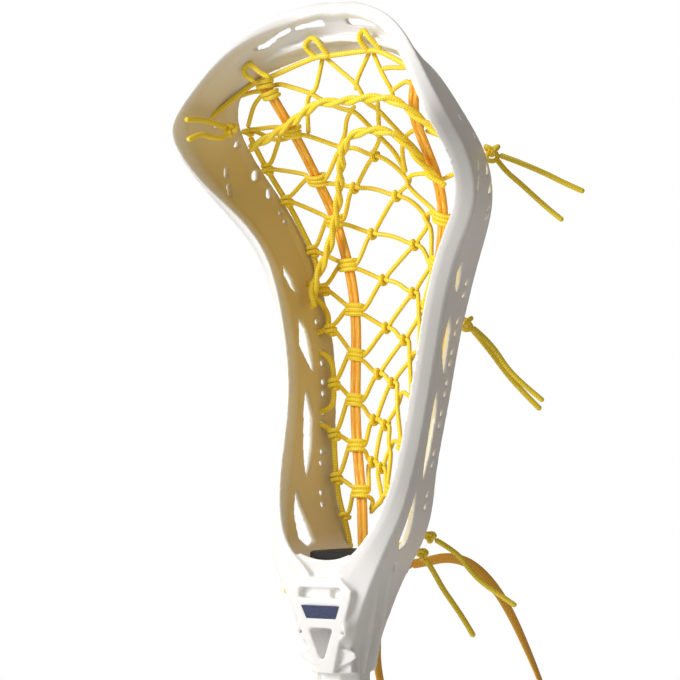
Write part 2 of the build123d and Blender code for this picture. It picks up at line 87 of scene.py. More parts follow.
# The rim's outer edge, (depth, height).
RIM_ROW = [(-19, 58), (-9.3, 86), (-1.5, 106), (6.5, 130), (12.3, 155), (14.4, 180), (14.2, 204),
           (12.2, 229), (4.5, 250), (-11, 269), (-31.5, 290), (-41.5, 305), (-41.5, 321),
           (-33.7, 342)]
FLAT_SHARE = 0.75             # the pocket keeps its depth over this share of its half width, or
FLAT_PAST_RAIL = 5.0          # to this far past the running rail, whichever is less
EDGE_CURVE = 1.4              # power of the curve from there to the sidewall string


def clamped(share: float) -> float:
    """Keeps a share between 0 and 1."""
    return min(1.0, max(0.0, share))


def between(row: Route, height: float) -> list[float]:
    """Reads a row of points at a height.

    Args:
        row: Points whose last number is the height, in rising order.
        height: Height above the collar in millimetres.

    Returns:
        The other numbers of the row at that height.
    """
    if height <= row[0][-1]:
        return list(row[0][:-1])
    for low, high in zip(row, row[1:]):
        if height <= high[-1]:
            share = (height - low[-1]) / (high[-1] - low[-1])
            return [a + (b - a) * share for a, b in zip(low[:-1], high[:-1])]
    return list(row[-1][:-1])


def on_pocket(x: float, height: float, lift: float = 0.0) -> Vector:
    """Point of the pocket, which is deepest between the running rails.

    Args:
        x: Distance from the middle of the head, in millimetres.
        height: Height above the collar, in millimetres.
        lift: How far in front of the pocket, towards the ball, in millimetres.

    Returns:
        The point in metres.
    """
    middle = between(POCKET_ROW, height)[0]
    side_x, side_y = between(SIDE_ROW, height)
    flat = min(FLAT_SHARE * side_x, between(RAIL_CORD, height)[0] + FLAT_PAST_RAIL)
    share = clamped((abs(x) - flat) / (side_x - flat)) ** EDGE_CURVE
    return at(x, middle + (side_y - middle) * share - lift, height)


# ------------------------------------------------------------------ finishes

def linear(code: str) -> tuple[float, float, float, float]:
    """Turns an sRGB colour into a linear one.

    Args:
        code: The colour as # and six hex digits.

    Returns:
        Linear red, green, blue and alpha.
    """
    parts = [int(code[i:i + 2], 16) / 255 for i in (1, 3, 5)]
    red, green, blue = (c / 12.92 if c <= 0.04045 else ((c + 0.055) / 1.055) ** 2.4 for c in parts)
    return red, green, blue, 1.0


def add_node(tree: bpy.types.NodeTree, kind: str, settings: Optional[dict] = None,
             links: Optional[dict] = None) -> bpy.types.Node:
    """Adds one shader node.

    Args:
        tree: The material's node tree.
        kind: Type of the node.
        settings: Properties and input values, by name or by input number.
        links: Sockets to connect, by input name or number.

    Returns:
        The new node.
    """
    made = tree.nodes.new(kind)
    for key, value in (settings or {}).items():
        if isinstance(key, int) or key in made.inputs:
            made.inputs[key].default_value = value
        else:
            setattr(made, key, value)
    for key, source in (links or {}).items():
        tree.links.new(source, made.inputs[key])
    return made


@dataclass(frozen=True)
class Finish:
    """What every finish has: a name, a base colour, a darker colour, gloss and IOR. The darker colour
    is painted shade in the valleys of the cords and laces, and a random darker tone on the other
    finishes.
    """

    name: str
    base: str
    shade: str
    roughness: float
    ior: float

    def material(self) -> bpy.types.Material:
        """Gives the finish's material, made on its first use.

        Returns:
            The material, named after the finish.
        """
        known = bpy.data.materials.get(self.name)
        if known:
            return known
        made = bpy.data.materials.new(self.name)
        made.use_nodes = True
        tree = made.node_tree
        shader = tree.nodes["Principled BSDF"]
        shader.inputs["Base Color"].default_value = linear(self.base)
        shader.inputs["Roughness"].default_value = self.roughness
        shader.inputs["IOR"].default_value = self.ior
        self.dress(tree, shader)
        return made

    def dress(self, tree: bpy.types.NodeTree, shader: bpy.types.Node) -> None:
        """Adds the finish's own nodes."""

    def put_on(self, piece: bpy.types.Object) -> None:
        """Gives a piece this finish and nothing else."""
        piece.data.materials.clear()
        piece.data.materials.append(self.material())


@dataclass(frozen=True)
class MouldedNylon(Finish):
    """Injection moulded nylon, slightly translucent, with a faint satin grain."""

    grain: float = 0.5        # mm, size of the mould's satin grain
    flow: float = 60.0        # mm, size of the soft flow marks
    painted_warm_shade: str = "#E2CE92"     # painted shade and warm light on the inner walls, standing for light through the thin walls and off the yellow strings

    def dress(self, tree: bpy.types.NodeTree, shader: bpy.types.Node) -> None:
        """Adds satin grain, soft flow marks and the painted warm shade of the inner walls.

        Args:
            tree: The material's node tree.
            shader: Its principled shader.
        """
        where = add_node(tree, "ShaderNodeTexCoord")
        flow = add_node(tree, "ShaderNodeTexNoise", {"Scale": 1 / (self.flow * MM), "Detail": 2.0},
                        {"Vector": where.outputs["Object"]})
        plain = add_node(tree, "ShaderNodeMix",
                         {"data_type": "RGBA", 6: linear(self.base), 7: linear(self.shade)},
                         {0: flow.outputs["Fac"]})
        # Painted warm shade: faces marked by this attribute take the tan colour that stands for light
        # through the thin walls and off the yellow strings.
        inner = add_node(tree, "ShaderNodeAttribute", {"attribute_name": "painted_warm_shade_mask"})
        coat = add_node(tree, "ShaderNodeMix", {"data_type": "RGBA", 7: linear(self.painted_warm_shade)},
                        {0: inner.outputs["Fac"], 6: plain.outputs[2]})
        tree.links.new(coat.outputs[2], shader.inputs["Base Color"])
        grain = add_node(tree, "ShaderNodeTexNoise", {"Scale": 1 / (self.grain * MM), "Detail": 3.0},
                         {"Vector": where.outputs["Object"]})
        gloss = add_node(tree, "ShaderNodeMapRange",
                         {"To Min": self.roughness - 0.06, "To Max": self.roughness + 0.08},
                         {"Value": grain.outputs["Fac"]})
        tree.links.new(gloss.outputs["Result"], shader.inputs["Roughness"])
        bump = add_node(tree, "ShaderNodeBump", {"Strength": 0.12, "Distance": 0.05 * MM},
                        {"Height": grain.outputs["Fac"]})
        tree.links.new(bump.outputs["Normal"], shader.inputs["Normal"])
        shader.inputs["Subsurface Weight"].default_value = 0.35
        shader.inputs["Subsurface Radius"].default_value = (1.0, 0.8, 0.5)
        shader.inputs["Subsurface Scale"].default_value = 2.5 * MM


@dataclass(frozen=True)
class BraidedNylon(Finish):
    """Round braided nylon cord: diamonds of yarn, with painted shade in the valleys between them and
    painted highlights on their crowns.
    """

    pick: float = 1.5         # mm along the cord for one diamond
    diamonds: float = 4.0     # diamonds round the cord
    painted_highlight: str = "#FFF27A"     # painted highlight on the crown of each yarn
    fibre: float = 0.35       # mm, loose fibres of the yarn

    def dress(self, tree: bpy.types.NodeTree, shader: bpy.types.Node) -> None:
        """Adds the braid, drawn from the cord's own turns and millimetres.

        Args:
            tree: The material's node tree.
            shader: Its principled shader.
        """
        cord = add_node(tree, "ShaderNodeUVMap", {"uv_map": "cord"})
        parts = add_node(tree, "ShaderNodeSeparateXYZ", links={"Vector": cord.outputs["UV"]})
        waves = []
        for lean in (1.0, -1.0):
            turn = add_node(tree, "ShaderNodeMath",
                            {"operation": "MULTIPLY", 1: math.tau * self.diamonds},
                            {0: parts.outputs["X"]})
            angle = add_node(tree, "ShaderNodeMath",
                             {"operation": "MULTIPLY_ADD", 1: lean * math.tau / self.pick / 2},
                             {0: parts.outputs["Y"], 2: turn.outputs[0]})
            waves.append(add_node(tree, "ShaderNodeMath", {"operation": "COSINE"},
                                  {0: angle.outputs[0]}))
        weave = add_node(tree, "ShaderNodeMath", {"operation": "MULTIPLY"},
                         {0: waves[0].outputs[0], 1: waves[1].outputs[0]})
        fibre = add_node(tree, "ShaderNodeTexNoise", {"Scale": 1 / (self.fibre * MM), "Detail": 2.0},
                         {"Vector": add_node(tree, "ShaderNodeTexCoord").outputs["Object"]})
        height = add_node(tree, "ShaderNodeMath", {"operation": "MULTIPLY_ADD", 1: 0.35},
                          {0: fibre.outputs["Fac"], 2: weave.outputs[0]})
        crown = add_node(tree, "ShaderNodeMapRange", {"From Min": -0.75, "From Max": 0.5},
                         {"Value": height.outputs[0]})
        # Painted shade: the valleys between the yarns take the darker shade colour.
        low = add_node(tree, "ShaderNodeMix",
                       {"data_type": "RGBA", 6: linear(self.shade), 7: linear(self.base)},
                       {0: crown.outputs["Result"]})
        # Painted highlight: the highest crowns take the highlight colour.
        top = add_node(tree, "ShaderNodeMapRange", {"From Min": 0.45, "From Max": 1.25, "To Max": 0.7},
                       {"Value": height.outputs[0]})
        colour = add_node(tree, "ShaderNodeMix", {"data_type": "RGBA", 7: linear(self.painted_highlight)},
                          {0: top.outputs["Result"], 6: low.outputs[2]})
        tree.links.new(colour.outputs[2], shader.inputs["Base Color"])
        bump = add_node(tree, "ShaderNodeBump", {"Strength": 0.3, "Distance": 0.12 * MM},
                        {"Height": height.outputs[0]})
        tree.links.new(bump.outputs["Normal"], shader.inputs["Normal"])
        shader.inputs["Sheen Weight"].default_value = 0.15
        shader.inputs["Subsurface Weight"].default_value = 0.15
        shader.inputs["Subsurface Radius"].default_value = (1.0, 0.7, 0.1)
        shader.inputs["Subsurface Scale"].default_value = 0.8 * MM


@dataclass(frozen=True)
class DrawnLace(Finish):
    """Woven lace pulled tight: long yarns run along it, with painted shade on the low ones and painted
    highlights on the high ones.
    """

    yarns: float = 14.0       # yarns round the lace
    length: float = 9.0       # mm, how long a yarn stays on top
    painted_highlight: str = "#FFDF70"     # painted highlight on the yarns that stand highest

    def dress(self, tree: bpy.types.NodeTree, shader: bpy.types.Node) -> None:
        """Adds the long yarns, drawn from the lace's own turns and millimetres.

        Args:
            tree: The material's node tree.
            shader: Its principled shader.
        """
        lace = add_node(tree, "ShaderNodeUVMap", {"uv_map": "cord"})
        drawn = add_node(tree, "ShaderNodeMapping",
                         {"Scale": (self.yarns, 1 / self.length, 1.0)},
                         {"Vector": lace.outputs["UV"]})
        yarn = add_node(tree, "ShaderNodeTexNoise", {"Scale": 1.0, "Detail": 3.0, "Roughness": 0.6},
                        {"Vector": drawn.outputs["Vector"]})
        spread = add_node(tree, "ShaderNodeMapRange", {"From Min": 0.38, "From Max": 0.62},
                          {"Value": yarn.outputs["Fac"]})
        # Painted shade: the low yarns take the darker shade colour.
        low = add_node(tree, "ShaderNodeMix",
                       {"data_type": "RGBA", 6: linear(self.shade), 7: linear(self.base)},
                       {0: spread.outputs["Result"]})
        # Painted highlight: the highest yarns take the highlight colour.
        top = add_node(tree, "ShaderNodeMapRange", {"From Min": 0.54, "From Max": 0.66},
                       {"Value": yarn.outputs["Fac"]})
        colour = add_node(tree, "ShaderNodeMix", {"data_type": "RGBA", 7: linear(self.painted_highlight)},
                          {0: top.outputs["Result"], 6: low.outputs[2]})
        tree.links.new(colour.outputs[2], shader.inputs["Base Color"])
        bump = add_node(tree, "ShaderNodeBump", {"Strength": 0.5, "Distance": 0.15 * MM},
                        {"Height": yarn.outputs["Fac"]})
        tree.links.new(bump.outputs["Normal"], shader.inputs["Normal"])
        shader.inputs["Sheen Weight"].default_value = 0.1


@dataclass(frozen=True)
class FlatLace(Finish):
    """Flat woven lace: fine ribs across it, in columns that alternate, with painted shade between the
    ribs.
    """

    rib: float = 1.0          # mm, one rib along the lace, drawn coarser than the real 0.6
    columns: float = 6.0      # columns of ribs round the lace

    def dress(self, tree: bpy.types.NodeTree, shader: bpy.types.Node) -> None:
        """Adds the ribs, drawn from the lace's own turns and millimetres.

        Args:
            tree: The material's node tree.
            shader: Its principled shader.
        """
        lace = add_node(tree, "ShaderNodeUVMap", {"uv_map": "cord"})
        parts = add_node(tree, "ShaderNodeSeparateXYZ", links={"Vector": lace.outputs["UV"]})
        column = add_node(tree, "ShaderNodeMath",
                          {"operation": "MULTIPLY", 1: math.tau * self.columns},
                          {0: parts.outputs["X"]})
        sway = add_node(tree, "ShaderNodeMath", {"operation": "SINE"}, {0: column.outputs[0]})
        turned = add_node(tree, "ShaderNodeMath", {"operation": "MULTIPLY", 1: 1.3},
                          {0: sway.outputs[0]})
        angle = add_node(tree, "ShaderNodeMath", {"operation": "MULTIPLY_ADD", 1: math.tau / self.rib},
                         {0: parts.outputs["Y"], 2: turned.outputs[0]})
        ribs = add_node(tree, "ShaderNodeMath", {"operation": "COSINE"}, {0: angle.outputs[0]})
        crown = add_node(tree, "ShaderNodeMapRange", {"From Min": -1.0, "From Max": 0.6},
                         {"Value": ribs.outputs[0]})
        # Painted shade: the valleys between the ribs take the darker shade colour.
        colour = add_node(tree, "ShaderNodeMix",
                          {"data_type": "RGBA", 6: linear(self.shade), 7: linear(self.base)},
                          {0: crown.outputs["Result"]})
        tree.links.new(colour.outputs[2], shader.inputs["Base Color"])
        bump = add_node(tree, "ShaderNodeBump", {"Strength": 0.5, "Distance": 0.12 * MM},
                        {"Height": ribs.outputs[0]})
        tree.links.new(bump.outputs["Normal"], shader.inputs["Normal"])
        shader.inputs["Sheen Weight"].default_value = 0.15


@dataclass(frozen=True)
class Grained(Finish):
    """A finish whose detail is one fine grain: foam cells, paint, rubber or foil."""

    grain: float = 1.0        # mm
    relief: float = 0.1       # mm
    metallic: float = 0.0
    coat: float = 0.0

    def dress(self, tree: bpy.types.NodeTree, shader: bpy.types.Node) -> None:
        """Adds grain to the colour, the gloss and the relief.

        Args:
            tree: The material's node tree.
            shader: Its principled shader.
        """
        where = add_node(tree, "ShaderNodeTexCoord")
        grain = add_node(tree, "ShaderNodeTexNoise", {"Scale": 1 / (self.grain * MM), "Detail": 4.0},
                         {"Vector": where.outputs["Object"]})
        colour = add_node(tree, "ShaderNodeMix",
                          {"data_type": "RGBA", 6: linear(self.shade), 7: linear(self.base)},
                          {0: grain.outputs["Fac"]})
        tree.links.new(colour.outputs[2], shader.inputs["Base Color"])
        gloss = add_node(tree, "ShaderNodeMapRange",
                         {"To Min": self.roughness - 0.08, "To Max": self.roughness + 0.08},
                         {"Value": grain.outputs["Fac"]})
        tree.links.new(gloss.outputs["Result"], shader.inputs["Roughness"])
        bump = add_node(tree, "ShaderNodeBump", {"Strength": 0.4, "Distance": self.relief * MM},
                        {"Height": grain.outputs["Fac"]})
        tree.links.new(bump.outputs["Normal"], shader.inputs["Normal"])
        shader.inputs["Metallic"].default_value = self.metallic
        shader.inputs["Coat Weight"].default_value = self.coat


@dataclass(frozen=True)
class Finishes:
    """Every finish on the stick."""

    # Satin and faintly translucent, with painted warm shade on the inner walls for light through the
    # thin walls and off the yellow strings.
    nylon: Finish = MouldedNylon("moulded_white_nylon", "#F4F3F1", "#ECEAE7", 0.34, 1.53)
    # Painted highlights on the crowns of yarn and painted shade in the golden valleys, with little
    # gloss.
    yellow: Finish = BraidedNylon("braided_yellow_nylon", "#FFE826", "#F8C412", 0.5, 1.53)
    fine_yellow: Finish = BraidedNylon("fine_braided_yellow_nylon", "#FFE826", "#F8C614", 0.5, 1.53,
                                       pick=1.2, diamonds=3.0)
    # Streaks along the lace: painted shade on the low yarns and painted highlights on the high ones.
    rail: Finish = DrawnLace("drawn_orange_lace", "#FFC83E", "#FAA422", 0.5, 1.53)
    # Fine ribs across a soft, dull band, with painted shade between them.
    lace: Finish = FlatLace("flat_orange_lace", "#FFC648", "#EBA024", 0.55, 1.53)
    # Black and dull, its cut cells just visible.
    foam: Finish = Grained("closed_cell_foam", "#1C1B1B", "#0C0C0C", 0.75, 1.5, grain=0.8, relief=0.2)
    # An even white skin with soft highlights along the flats.
    paint: Finish = Grained("satin_painted_alloy", "#EDECEA", "#E4E3E1", 0.32, 1.5, grain=1.2,
                            relief=0.02, coat=0.3)
    # Dark and matt, with a grain that breaks up its highlights.
    rubber: Finish = Grained("moulded_black_rubber", "#1A1A1A", "#101010", 0.7, 1.52, grain=0.6,
                             relief=0.08)
    # Grey plating with small bright highlights.
    steel: Finish = Grained("zinc_plated_steel", "#B9B8B4", "#A3A29E", 0.32, 1.5, grain=0.4,
                            relief=0.02, metallic=1.0)
    # Metallic and dark, with a glossy coat over it.
    foil: Finish = Grained("blue_grey_foil", "#5A6486", "#2C3149", 0.35, 1.5, grain=0.9,
                           relief=0.05, metallic=0.6, coat=0.4)
    # Almost white and dull, so that it only shows the shadow.
    floor: Finish = Grained("pale_floor", "#F4F4F4", "#F1F1F1", 0.8, 1.5, grain=50.0, relief=0.01)


FINISH = Finishes()


# ------------------------------------------------------------------ cords

class Lay(Enum):
    """How a cord's section follows its line."""

    ROUND = "round"
    FLAT = "flat"


@dataclass(frozen=True)
class Section:
    """Section of a cord, in millimetres, and how finely its mesh is made."""

    width: float
    thickness: float
    pick: float = 1.5              # along the cord for one diamond, as in its finish
    diamonds: int = 4              # diamonds round the cord, as in its finish
    relief: float = 0.12           # height of the crowns above the valleys' middle
    sides: int = 16
    step: float = 0.45             # between rings of the mesh
    lay: Lay = Lay.ROUND


CROSS_LACE = Section(2.6, 2.6, pick=1.2, diamonds=3, relief=0.06, sides=10, step=0.55)
CORD = Section(3.0, 3.0)
SHOOTER_YARN = Section(2.9, 2.9, step=0.5)
RAIL_STRAND = Section(3.4, 3.0, relief=0.0, sides=14, step=0.9, lay=Lay.FLAT)
FLAT_LACE = Section(5.6, 2.0, relief=0.0, sides=20, step=0.8, lay=Lay.FLAT)


def nurbs(name: str, routes: Sequence[Sequence[Vector]]) -> bpy.types.Object:
    """Makes a curve object with one smooth NURBS spline for each route.

    Args:
        name: Name of the object.
        routes: Control points in metres.

    Returns:
        The curve object, linked to the scene.
    """
    data = bpy.data.curves.new(name, "CURVE")
    data.dimensions = "3D"
    data.resolution_u = 12
    for route in routes:
        spline = data.splines.new("NURBS")
        spline.points.add(len(route) - 1)
        for control, point in zip(spline.points, route):
            control.co = (*point, 1.0)
        spline.order_u = 3
        spline.use_endpoint_u = True
    made = bpy.data.objects.new(name, data)
    bpy.context.scene.collection.objects.link(made)
    return made


def read_lines(routes: Sequence[Sequence[Vector]]) -> list[Line]:
    """Reads the smooth lines of routes.

    Args:
        routes: Control points in metres.

    Returns:
        One list of points for each route, along its NURBS spline.
    """
    curve = nurbs("route", routes)
    mesh = bpy.data.meshes.new_from_object(curve)
    joined = {tuple(sorted(e.vertices)) for e in mesh.edges}
    lines: list[Line] = [[]]
    for i, vertex in enumerate(mesh.vertices):
        if i and (i - 1, i) not in joined:
            lines.append([])
        lines[-1].append(vertex.co.copy())
    data = curve.data
    bpy.data.objects.remove(curve)
    bpy.data.curves.remove(data)
    bpy.data.meshes.remove(mesh)
    return lines


def stepped(line: Line, step: float) -> Line:
    """Divides a line into even steps.

    Args:
        line: The line's points in metres.
        step: Wanted length of a step in metres.

    Returns:
        The points between the steps, the line's two ends among them.
    """
    lengths = [0.0]
    for a, b in zip(line, line[1:]):
        lengths.append(lengths[-1] + (b - a).length)
    count = max(2, round(lengths[-1] / step))
    points, i = [], 0
    for n in range(count + 1):
        wanted = lengths[-1] * n / count
        while i < len(lengths) - 2 and lengths[i + 1] < wanted:
            i += 1
        run = max(lengths[i + 1] - lengths[i], 1e-9)
        points.append(line[i].lerp(line[i + 1], (wanted - lengths[i]) / run))
    return points


def section_frames(points: Line, facing: Optional[Vector], twist: Sequence[float]) -> list:
    """Across and outward directions of a cord at each of its points.

    Args:
        points: The cord's centre line.
        facing: Direction that a flat cord's face looks in, or None for a round cord.
        twist: Turn of the section at the start and at the end, in degrees.

    Returns:
        Pairs of unit vectors, across the cord and out of its face.
    """
    frames, out = [], None
    for i in range(len(points)):
        along = (points[min(i + 1, len(points) - 1)] - points[max(i - 1, 0)]).normalized()
        if facing is not None:
            out = facing
        elif out is None:
            out = min((Vector((1, 0, 0)), Vector((0, 1, 0)), Vector((0, 0, 1))),
                      key=lambda v: abs(v.dot(along)))
        out = (out - along * out.dot(along)).normalized()
        across = along.cross(out)
        share = i / (len(points) - 1)
        angle = math.radians(twist[0] + (twist[-1] - twist[0]) * share)
        frames.append((across * math.cos(angle) + out * math.sin(angle),
                       out * math.cos(angle) - across * math.sin(angle)))
    return frames


def cord_mesh(name: str, lines: Sequence[Line], section: Section, finish: Finish,
              facing: Optional[Vector] = None,
              twist: Sequence[float] = (0.0, 0.0)) -> bpy.types.Object:
    """Makes one piece of cords that follow lines, each closed with a sealed tip at both ends.

    Args:
        name: Name of the piece.
        lines: Centre lines in metres.
        section: Size and relief of the cord.
        finish: The cord's finish.
        facing: Direction that a flat cord's face looks in.
        twist: Turn of the section at the start and at the end, in degrees.

    Returns:
        The piece, with its turns and millimetres in the UV map "cord".
    """
    verts, faces, marks = [], [], []
    sides, half, thick = section.sides, section.width / 2 * MM, section.thickness / 2 * MM
    tip = (0.35, 0.72, 0.93)       # first rings of a sealed tip, as shares of the section
    facing = facing if section.lay is Lay.FLAT else None
    for line in lines:
        points = stepped(line, section.step * MM)
        frames = section_frames(points, facing, twist)
        start = len(verts)
        along = 0.0
        for i, (point, (across, out)) in enumerate(zip(points, frames)):
            along += (point - points[i - 1]).length / MM if i else 0.0
            end = min(i, len(points) - 1 - i)
            shrink = tip[end] if end < len(tip) else 1.0
            for s in range(sides):
                turn = s / sides
                angle = turn * math.tau
                swell = math.cos(math.tau * section.diamonds * turn + math.pi * along / section.pick)
                swell *= math.cos(math.tau * section.diamonds * turn - math.pi * along / section.pick)
                size = shrink * (1 + section.relief * swell / (section.width / 2))
                verts.append(point + across * (half * size * math.cos(angle))
                             + out * (thick * size * math.sin(angle)))
                marks.append((turn, along))
        for i in range(len(points) - 1):
            for s in range(sides):
                a, b = start + i * sides + s, start + i * sides + (s + 1) % sides
                faces.append((a, b, b + sides, a + sides))
        for ring, side in ((0, 1), (len(points) - 1, -1)):
            first = start + ring * sides
            verts.append(points[ring].copy())
            marks.append((0.5, marks[first][1]))
            middle = len(verts) - 1
            for s in range(sides):
                a, b = first + s, first + (s + 1) % sides
                faces.append((middle, b, a) if side == 1 else (middle, a, b))
    mesh = bpy.data.meshes.new(name)
    mesh.from_pydata(verts, [], faces)
    layer = mesh.uv_layers.new(name="cord")
    for polygon in mesh.polygons:
        turns = [marks[mesh.loops[k].vertex_index][0] for k in polygon.loop_indices]
        wraps = max(turns) - min(turns) > 0.5 and len(turns) == 4
        for k, turn in zip(polygon.loop_indices, turns):
            far = 1.0 if wraps and turn < 0.5 else 0.0
            layer.data[k].uv = (turn + far, marks[mesh.loops[k].vertex_index][1])
    mesh.polygons.foreach_set("use_smooth", [True] * len(mesh.polygons))
    made = bpy.data.objects.new(name, mesh)
    bpy.context.scene.collection.objects.link(made)
    finish.put_on(made)
    return made


def coil(centre: Vector, axis: Vector, side: Vector, radius: Sequence[float], turns: Sequence[float],
         pitch: float, points: int = 8) -> Line:
    """Control points of a cord wound round an axis.

    Args:
        centre: Middle of the winding, in metres.
        axis: Direction that the winding advances in.
        side: Direction in which turn 0 starts.
        radius: Half sizes along side and across it, in millimetres.
        turns: First and last turn.
        pitch: Advance for one turn, in millimetres.
        points: Control points in one turn.

    Returns:
        The points in metres.
    """
    axis = axis.normalized()
    side = (side - axis * side.dot(axis)).normalized()
    other = axis.cross(side)
    count = max(2, round(abs(turns[1] - turns[0]) * points))
    middle = (turns[0] + turns[1]) / 2
    made = []
    for i in range(count + 1):
        turn = turns[0] + (turns[1] - turns[0]) * i / count
        angle = turn * math.tau
        made.append(centre + side * (radius[0] * MM * math.cos(angle))
                    + other * (radius[1] * MM * math.sin(angle))
                    + axis * (pitch * MM * (turn - middle)))
    return made


def twisted_pair(route: Line, spread: float, pitch: float) -> list[Line]:
    """Two lines that twist about each other along a route's smooth line.

    Args:
        route: Control points of the pair's middle, in metres.
        spread: Distance from the middle to each line, in millimetres.
        pitch: Length of one turn, in millimetres.

    Returns:
        The two lines.
    """
    middle = stepped(read_lines([route])[0], 1.0 * MM)
    frames = section_frames(middle, None, (0.0, 0.0))
    pair = []
    for half_turn in (0.0, math.pi):
        line = []
        for i, (point, (across, out)) in enumerate(zip(middle, frames)):
            angle = math.tau * i / pitch + half_turn
            line.append(point + (across * math.cos(angle) + out * math.sin(angle)) * (spread * MM))
        pair.append(line)
    return pair


def finish_piece(piece: bpy.types.Object, slot: str, *nodes: str) -> bpy.types.Object:
    """Ties a piece to the body, hides the CAD nodes that it stands for, and logs it.

    Args:
        piece: The finished piece.
        slot: Its material slot; not used.
        nodes: CAD nodes that it replaces, if any.

    Returns:
        The same piece.
    """
    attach(piece, BODY)
    if nodes:
        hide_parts(*nodes)
    count = len(piece.data.polygons) if piece.type == "MESH" else 0
    log.info("%s: %d faces", piece.name, count)
    return piece


# ------------------------------------------------------------------ studio

@dataclass
class Studio:
    """Camera, floor and lights."""

    azimuth: float = 31.0          # degrees from straight in front, towards the head's right
    distance: float = 2100.0       # mm from the head's axis
    lens: float = 202.3            # mm on a 36 mm sensor
    centre_height: float = 182.0   # mm above the collar, at the middle of the view
    centre_shift: float = 2.03     # mm that the view's middle lies left of the axis
    floor_radius: float = 4.0      # m
    lights: Sequence[tuple] = (    # name, place and size in m, watts, colour
        ("key", (-1.1, -2.4, 1.8), 1.5, 70.0, "#FFFFFF"),
        ("top", (-0.5, -0.4, 2.9), 1.2, 14.0, "#FFFFFF"),
        ("rear", (-1.6, 1.6, 1.3), 1.2, 12.0, "#FFFBF2"),
    )
    ambient: float = 0.24          # strength of the surroundings away from the camera

    def camera(self) -> None:
        """Puts the camera level with the head, to its right."""
        angle = math.radians(self.azimuth)
        right = Vector((math.cos(angle), math.sin(angle), 0))
        view = Vector((-math.sin(angle), math.cos(angle), 0))
        target = at(0, 0, self.centre_height) - right * (self.centre_shift * MM)
        data = bpy.data.cameras.new("camera")
        data.lens = self.lens
        data.sensor_width = 36.0
        data.clip_start, data.clip_end = 0.05, 60.0
        made = bpy.data.objects.new("camera", data)
        bpy.context.scene.collection.objects.link(made)
        made.location = target - view * (self.distance * MM)
        made.rotation_euler = view.to_track_quat("-Z", "Y").to_euler()
        bpy.context.scene.camera = made

    def floor(self) -> None:
        """Adds a plain pale floor under the butt of the handle."""
        bpy.ops.object.select_all(action="DESELECT")
        bpy.ops.mesh.primitive_circle_add(vertices=96, radius=self.floor_radius, fill_type="NGON",
                                          location=(0, 0, 0))
        made = bpy.context.object
        made.name = "floor"
        FINISH.floor.put_on(made)

    def light(self, name: str, place: Vector, size: float, power: float, colour: str) -> None:
        """Adds one square soft box that points at the head.

        Args:
            name: Name of the light.
            place: Its middle, in metres.
            size: Its side, in metres.
            power: Its power in watts.
            colour: Its sRGB hex colour.
        """
        data = bpy.data.lights.new(name, "AREA")
        data.size = size
        data.energy = power
        data.color = linear(colour)[:3]
        made = bpy.data.objects.new(name, data)
        bpy.context.scene.collection.objects.link(made)
        made.location = place
        aim = at(0, 0, self.centre_height) - place
        made.rotation_euler = aim.to_track_quat("-Z", "Y").to_euler()

    def build(self) -> None:
        """Makes the camera, floor, lights and the white surroundings."""
        self.camera()
        self.floor()
        for name, place, size, power, colour in self.lights:
            self.light(name, Vector(place), size, power, colour)
        world = bpy.data.worlds.new("white_room")
        bpy.context.scene.world = world
        world.use_nodes = True
        tree = world.node_tree
        back = tree.nodes["Background"]
        back.inputs["Color"].default_value = linear("#F7F0E6")
        back.inputs["Strength"].default_value = self.ambient
        bright = add_node(tree, "ShaderNodeBackground", {"Color": linear("#FFFFFF"), "Strength": 1.0})
        rays = add_node(tree, "ShaderNodeLightPath")
        blend = add_node(tree, "ShaderNodeMixShader",
                         links={0: rays.outputs["Is Camera Ray"], 1: back.outputs[0],
                                2: bright.outputs[0]})
        tree.links.new(blend.outputs[0], tree.nodes["World Output"].inputs["Surface"])
        bpy.context.scene.view_settings.view_transform = "Standard"


# ------------------------------------------------------------------ free ends

